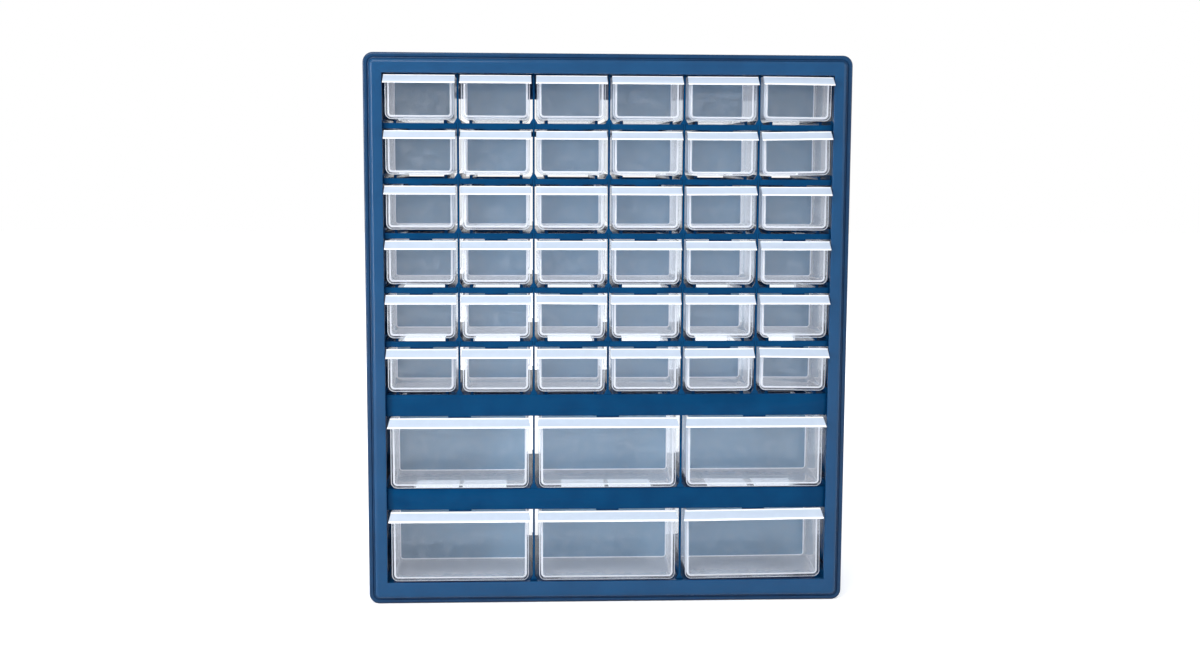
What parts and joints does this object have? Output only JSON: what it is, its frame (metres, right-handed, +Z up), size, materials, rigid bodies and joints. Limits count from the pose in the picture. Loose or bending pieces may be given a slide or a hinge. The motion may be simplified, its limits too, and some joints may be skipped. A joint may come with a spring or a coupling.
{
  "type": "parts bin cabinet",
  "caption": "Plastic parts cabinet: a blue open-backed case with rows of small clear pull-out drawers above rows of wide ones.",
  "frame": {"origin": "on the table, under the middle of the closed cabinet's box, pull lips included", "axes": "+X to the viewer's right, +Z up, the drawers face and open along -Y"},
  "size_m": [0.381, 0.159, 0.4363],
  "materials": {
    "frame_blue": "moulded polystyrene, navy blue, soft gloss",
    "clear_drawer": "moulded polystyrene, clear with a faint blue-grey tint"
  },
  "bodies": {
    "cabinet": {"front_bezel": "frame_blue", "case_shell": "frame_blue", "rear_frame": "frame_blue", "shelf_1": "frame_blue", "shelf_2": "frame_blue", "shelf_3": "frame_blue", "shelf_4": "frame_blue", "shelf_5": "frame_blue", "apron_shelf_1": "frame_blue", "apron_shelf_2": "frame_blue", "floor_shelf": "frame_blue", "small_dividers": "frame_blue", "large_dividers": "frame_blue"},
    "small_drawer_r1_c1": {"small_drawer_r1_c1": "clear_drawer"},
    "small_drawer_r1_c2": {"small_drawer_r1_c2": "clear_drawer"},
    "small_drawer_r1_c3": {"small_drawer_r1_c3": "clear_drawer"},
    "small_drawer_r1_c4": {"small_drawer_r1_c4": "clear_drawer"},
    "small_drawer_r1_c5": {"small_drawer_r1_c5": "clear_drawer"},
    "small_drawer_r1_c6": {"small_drawer_r1_c6": "clear_drawer"},
    "small_drawer_r2_c1": {"small_drawer_r2_c1": "clear_drawer"},
    "small_drawer_r2_c2": {"small_drawer_r2_c2": "clear_drawer"},
    "small_drawer_r2_c3": {"small_drawer_r2_c3": "clear_drawer"},
    "small_drawer_r2_c4": {"small_drawer_r2_c4": "clear_drawer"},
    "small_drawer_r2_c5": {"small_drawer_r2_c5": "clear_drawer"},
    "small_drawer_r2_c6": {"small_drawer_r2_c6": "clear_drawer"},
    "small_drawer_r3_c1": {"small_drawer_r3_c1": "clear_drawer"},
    "small_drawer_r3_c2": {"small_drawer_r3_c2": "clear_drawer"},
    "small_drawer_r3_c3": {"small_drawer_r3_c3": "clear_drawer"},
    "small_drawer_r3_c4": {"small_drawer_r3_c4": "clear_drawer"},
    "small_drawer_r3_c5": {"small_drawer_r3_c5": "clear_drawer"},
    "small_drawer_r3_c6": {"small_drawer_r3_c6": "clear_drawer"},
    "small_drawer_r4_c1": {"small_drawer_r4_c1": "clear_drawer"},
    "small_drawer_r4_c2": {"small_drawer_r4_c2": "clear_drawer"},
    "small_drawer_r4_c3": {"small_drawer_r4_c3": "clear_drawer"},
    "small_drawer_r4_c4": {"small_drawer_r4_c4": "clear_drawer"},
    "small_drawer_r4_c5": {"small_drawer_r4_c5": "clear_drawer"},
    "small_drawer_r4_c6": {"small_drawer_r4_c6": "clear_drawer"},
    "small_drawer_r5_c1": {"small_drawer_r5_c1": "clear_drawer"},
    "small_drawer_r5_c2": {"small_drawer_r5_c2": "clear_drawer"},
    "small_drawer_r5_c3": {"small_drawer_r5_c3": "clear_drawer"},
    "small_drawer_r5_c4": {"small_drawer_r5_c4": "clear_drawer"},
    "small_drawer_r5_c5": {"small_drawer_r5_c5": "clear_drawer"},
    "small_drawer_r5_c6": {"small_drawer_r5_c6": "clear_drawer"},
    "small_drawer_r6_c1": {"small_drawer_r6_c1": "clear_drawer"},
    "small_drawer_r6_c2": {"small_drawer_r6_c2": "clear_drawer"},
    "small_drawer_r6_c3": {"small_drawer_r6_c3": "clear_drawer"},
    "small_drawer_r6_c4": {"small_drawer_r6_c4": "clear_drawer"},
    "small_drawer_r6_c5": {"small_drawer_r6_c5": "clear_drawer"},
    "small_drawer_r6_c6": {"small_drawer_r6_c6": "clear_drawer"},
    "large_drawer_r1_c1": {"large_drawer_r1_c1": "clear_drawer"},
    "large_drawer_r1_c2": {"large_drawer_r1_c2": "clear_drawer"},
    "large_drawer_r1_c3": {"large_drawer_r1_c3": "clear_drawer"},
    "large_drawer_r2_c1": {"large_drawer_r2_c1": "clear_drawer"},
    "large_drawer_r2_c2": {"large_drawer_r2_c2": "clear_drawer"},
    "large_drawer_r2_c3": {"large_drawer_r2_c3": "clear_drawer"}
  },
  "joints": [
    {"name": "small_drawer_r1_c1_slide", "type": "slide", "parent": "cabinet", "child": "small_drawer_r1_c1", "axis": [0, -1, 0], "range_m": [0, 0.1271]},
    {"name": "small_drawer_r1_c2_slide", "type": "slide", "parent": "cabinet", "child": "small_drawer_r1_c2", "axis": [0, -1, 0], "range_m": [0, 0.1271]},
    {"name": "small_drawer_r1_c3_slide", "type": "slide", "parent": "cabinet", "child": "small_drawer_r1_c3", "axis": [0, -1, 0], "range_m": [0, 0.1271]},
    {"name": "small_drawer_r1_c4_slide", "type": "slide", "parent": "cabinet", "child": "small_drawer_r1_c4", "axis": [0, -1, 0], "range_m": [0, 0.1271]},
    {"name": "small_drawer_r1_c5_slide", "type": "slide", "parent": "cabinet", "child": "small_drawer_r1_c5", "axis": [0, -1, 0], "range_m": [0, 0.1271]},
    {"name": "small_drawer_r1_c6_slide", "type": "slide", "parent": "cabinet", "child": "small_drawer_r1_c6", "axis": [0, -1, 0], "range_m": [0, 0.1271]},
    {"name": "small_drawer_r2_c1_slide", "type": "slide", "parent": "cabinet", "child": "small_drawer_r2_c1", "axis": [0, -1, 0], "range_m": [0, 0.1271]},
    {"name": "small_drawer_r2_c2_slide", "type": "slide", "parent": "cabinet", "child": "small_drawer_r2_c2", "axis": [0, -1, 0], "range_m": [0, 0.1271]},
    {"name": "small_drawer_r2_c3_slide", "type": "slide", "parent": "cabinet", "child": "small_drawer_r2_c3", "axis": [0, -1, 0], "range_m": [0, 0.1271]},
    {"name": "small_drawer_r2_c4_slide", "type": "slide", "parent": "cabinet", "child": "small_drawer_r2_c4", "axis": [0, -1, 0], "range_m": [0, 0.1271]},
    {"name": "small_drawer_r2_c5_slide", "type": "slide", "parent": "cabinet", "child": "small_drawer_r2_c5", "axis": [0, -1, 0], "range_m": [0, 0.1271]},
    {"name": "small_drawer_r2_c6_slide", "type": "slide", "parent": "cabinet", "child": "small_drawer_r2_c6", "axis": [0, -1, 0], "range_m": [0, 0.1271]},
    {"name": "small_drawer_r3_c1_slide", "type": "slide", "parent": "cabinet", "child": "small_drawer_r3_c1", "axis": [0, -1, 0], "range_m": [0, 0.1271]},
    {"name": "small_drawer_r3_c2_slide", "type": "slide", "parent": "cabinet", "child": "small_drawer_r3_c2", "axis": [0, -1, 0], "range_m": [0, 0.1271]},
    {"name": "small_drawer_r3_c3_slide", "type": "slide", "parent": "cabinet", "child": "small_drawer_r3_c3", "axis": [0, -1, 0], "range_m": [0, 0.1271]},
    {"name": "small_drawer_r3_c4_slide", "type": "slide", "parent": "cabinet", "child": "small_drawer_r3_c4", "axis": [0, -1, 0], "range_m": [0, 0.1271]},
    {"name": "small_drawer_r3_c5_slide", "type": "slide", "parent": "cabinet", "child": "small_drawer_r3_c5", "axis": [0, -1, 0], "range_m": [0, 0.1271]},
    {"name": "small_drawer_r3_c6_slide", "type": "slide", "parent": "cabinet", "child": "small_drawer_r3_c6", "axis": [0, -1, 0], "range_m": [0, 0.1271]},
    {"name": "small_drawer_r4_c1_slide", "type": "slide", "parent": "cabinet", "child": "small_drawer_r4_c1", "axis": [0, -1, 0], "range_m": [0, 0.1271]},
    {"name": "small_drawer_r4_c2_slide", "type": "slide", "parent": "cabinet", "child": "small_drawer_r4_c2", "axis": [0, -1, 0], "range_m": [0, 0.1271]},
    {"name": "small_drawer_r4_c3_slide", "type": "slide", "parent": "cabinet", "child": "small_drawer_r4_c3", "axis": [0, -1, 0], "range_m": [0, 0.1271]},
    {"name": "small_drawer_r4_c4_slide", "type": "slide", "parent": "cabinet", "child": "small_drawer_r4_c4", "axis": [0, -1, 0], "range_m": [0, 0.1271]},
    {"name": "small_drawer_r4_c5_slide", "type": "slide", "parent": "cabinet", "child": "small_drawer_r4_c5", "axis": [0, -1, 0], "range_m": [0, 0.1271]},
    {"name": "small_drawer_r4_c6_slide", "type": "slide", "parent": "cabinet", "child": "small_drawer_r4_c6", "axis": [0, -1, 0], "range_m": [0, 0.1271]},
    {"name": "small_drawer_r5_c1_slide", "type": "slide", "parent": "cabinet", "child": "small_drawer_r5_c1", "axis": [0, -1, 0], "range_m": [0, 0.1271]},
    {"name": "small_drawer_r5_c2_slide", "type": "slide", "parent": "cabinet", "child": "small_drawer_r5_c2", "axis": [0, -1, 0], "range_m": [0, 0.1271]},
    {"name": "small_drawer_r5_c3_slide", "type": "slide", "parent": "cabinet", "child": "small_drawer_r5_c3", "axis": [0, -1, 0], "range_m": [0, 0.1271]},
    {"name": "small_drawer_r5_c4_slide", "type": "slide", "parent": "cabinet", "child": "small_drawer_r5_c4", "axis": [0, -1, 0], "range_m": [0, 0.1271]},
    {"name": "small_drawer_r5_c5_slide", "type": "slide", "parent": "cabinet", "child": "small_drawer_r5_c5", "axis": [0, -1, 0], "range_m": [0, 0.1271]},
    {"name": "small_drawer_r5_c6_slide", "type": "slide", "parent": "cabinet", "child": "small_drawer_r5_c6", "axis": [0, -1, 0], "range_m": [0, 0.1271]},
    {"name": "small_drawer_r6_c1_slide", "type": "slide", "parent": "cabinet", "child": "small_drawer_r6_c1", "axis": [0, -1, 0], "range_m": [0, 0.1271]},
    {"name": "small_drawer_r6_c2_slide", "type": "slide", "parent": "cabinet", "child": "small_drawer_r6_c2", "axis": [0, -1, 0], "range_m": [0, 0.1271]},
    {"name": "small_drawer_r6_c3_slide", "type": "slide", "parent": "cabinet", "child": "small_drawer_r6_c3", "axis": [0, -1, 0], "range_m": [0, 0.1271]},
    {"name": "small_drawer_r6_c4_slide", "type": "slide", "parent": "cabinet", "child": "small_drawer_r6_c4", "axis": [0, -1, 0], "range_m": [0, 0.1271]},
    {"name": "small_drawer_r6_c5_slide", "type": "slide", "parent": "cabinet", "child": "small_drawer_r6_c5", "axis": [0, -1, 0], "range_m": [0, 0.1271]},
    {"name": "small_drawer_r6_c6_slide", "type": "slide", "parent": "cabinet", "child": "small_drawer_r6_c6", "axis": [0, -1, 0], "range_m": [0, 0.1271]},
    {"name": "large_drawer_r1_c1_slide", "type": "slide", "parent": "cabinet", "child": "large_drawer_r1_c1", "axis": [0, -1, 0], "range_m": [0, 0.1271]},
    {"name": "large_drawer_r1_c2_slide", "type": "slide", "parent": "cabinet", "child": "large_drawer_r1_c2", "axis": [0, -1, 0], "range_m": [0, 0.1271]},
    {"name": "large_drawer_r1_c3_slide", "type": "slide", "parent": "cabinet", "child": "large_drawer_r1_c3", "axis": [0, -1, 0], "range_m": [0, 0.1271]},
    {"name": "large_drawer_r2_c1_slide", "type": "slide", "parent": "cabinet", "child": "large_drawer_r2_c1", "axis": [0, -1, 0], "range_m": [0, 0.1271]},
    {"name": "large_drawer_r2_c2_slide", "type": "slide", "parent": "cabinet", "child": "large_drawer_r2_c2", "axis": [0, -1, 0], "range_m": [0, 0.1271]},
    {"name": "large_drawer_r2_c3_slide", "type": "slide", "parent": "cabinet", "child": "large_drawer_r2_c3", "axis": [0, -1, 0], "range_m": [0, 0.1271]}
  ]
}
